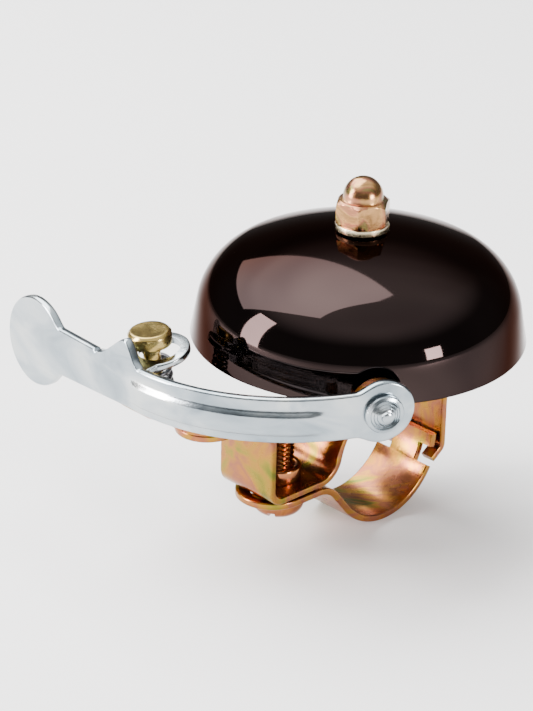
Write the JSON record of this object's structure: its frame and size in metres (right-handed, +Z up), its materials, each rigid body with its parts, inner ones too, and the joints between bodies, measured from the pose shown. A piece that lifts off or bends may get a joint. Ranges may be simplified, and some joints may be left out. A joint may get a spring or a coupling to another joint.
{
  "type": "bicycle bell",
  "caption": "Domed bicycle bell with a thumb lever, a spring-loaded hammer beside the rim and a hinged handlebar clamp closed by a slotted screw.",
  "frame": {"origin": "centre of the handlebar bore, in the middle of the clamp's width", "axes": "+Y along the handlebar, +Z up along the dome's axis and away from the bar, -X towards the thumb lever and the clamp screw"},
  "size_m": [0.0688, 0.0716, 0.0602],
  "materials": {
    "dome_nickel": "black nickel plating, polished",
    "yellow_zinc": "yellow chromate zinc with pink and green tints",
    "pink_zinc": "yellow chromate zinc, orange to pink",
    "blue_zinc": "bright zinc, slightly blue",
    "pale_zinc": "pale gold zinc",
    "hammer_brass": "turned brass",
    "dark_steel": "dark spring steel",
    "fibre": "hard fibre",
    "post_steel": "zinc-plated steel"
  },
  "bodies": {
    "root": {"bell_dome": "dome_nickel", "seat_washer": "fibre", "dome_post": "post_steel", "lock_washer": "pale_zinc", "cap_nut": "yellow_zinc", "clamp_bracket": "pink_zinc", "base_plate": "pink_zinc", "base_rivet": "post_steel", "lever_rivet": "blue_zinc", "pivot_washer": "blue_zinc", "hammer_arm": "pink_zinc", "arm_rivet": "yellow_zinc", "spring_seat": "blue_zinc"},
    "band": {"clamp_band": "pink_zinc"},
    "screw": {"clamp_screw": "pink_zinc"},
    "lever": {"lever": "blue_zinc"},
    "hammer": {"hammer": "hammer_brass", "hammer_spring": "dark_steel"}
  },
  "joints": [
    {"name": "lever_press", "type": "hinge", "parent": "root", "child": "lever", "pos_m": [-0.02164, -0.02456, 0.0217], "axis": [-0.4391, -0.8984, 0], "range_deg": [0, 4], "stiffness_Nm_per_rad": 1, "springref_deg": -5.73, "deforming": ["hammer_spring"]},
    {"name": "hammer_rock", "type": "hinge", "parent": "root", "child": "hammer", "pos_m": [-0.03381, 0.01374, 0.0132], "axis": [0.3987, 0.9171, 0], "range_deg": [0, 18.5]},
    {"name": "band_swing", "type": "hinge", "parent": "root", "child": "band", "pos_m": [0.0115, 0, -0.0043], "axis": [0, -1, 0], "range_deg": [0, 10]},
    {"name": "clamp_screw_travel", "type": "slide", "parent": "root", "child": "screw", "axis": [0, 0, -1], "range_m": [0, 0.0062]}
  ],
  "couplings": [
    {"joint": "hammer_rock", "follows": "lever_press", "ratio": 4.6249},
    {"joint": "clamp_screw_travel", "follows": "band_swing", "m_per_rad": 0.0355}
  ]
}
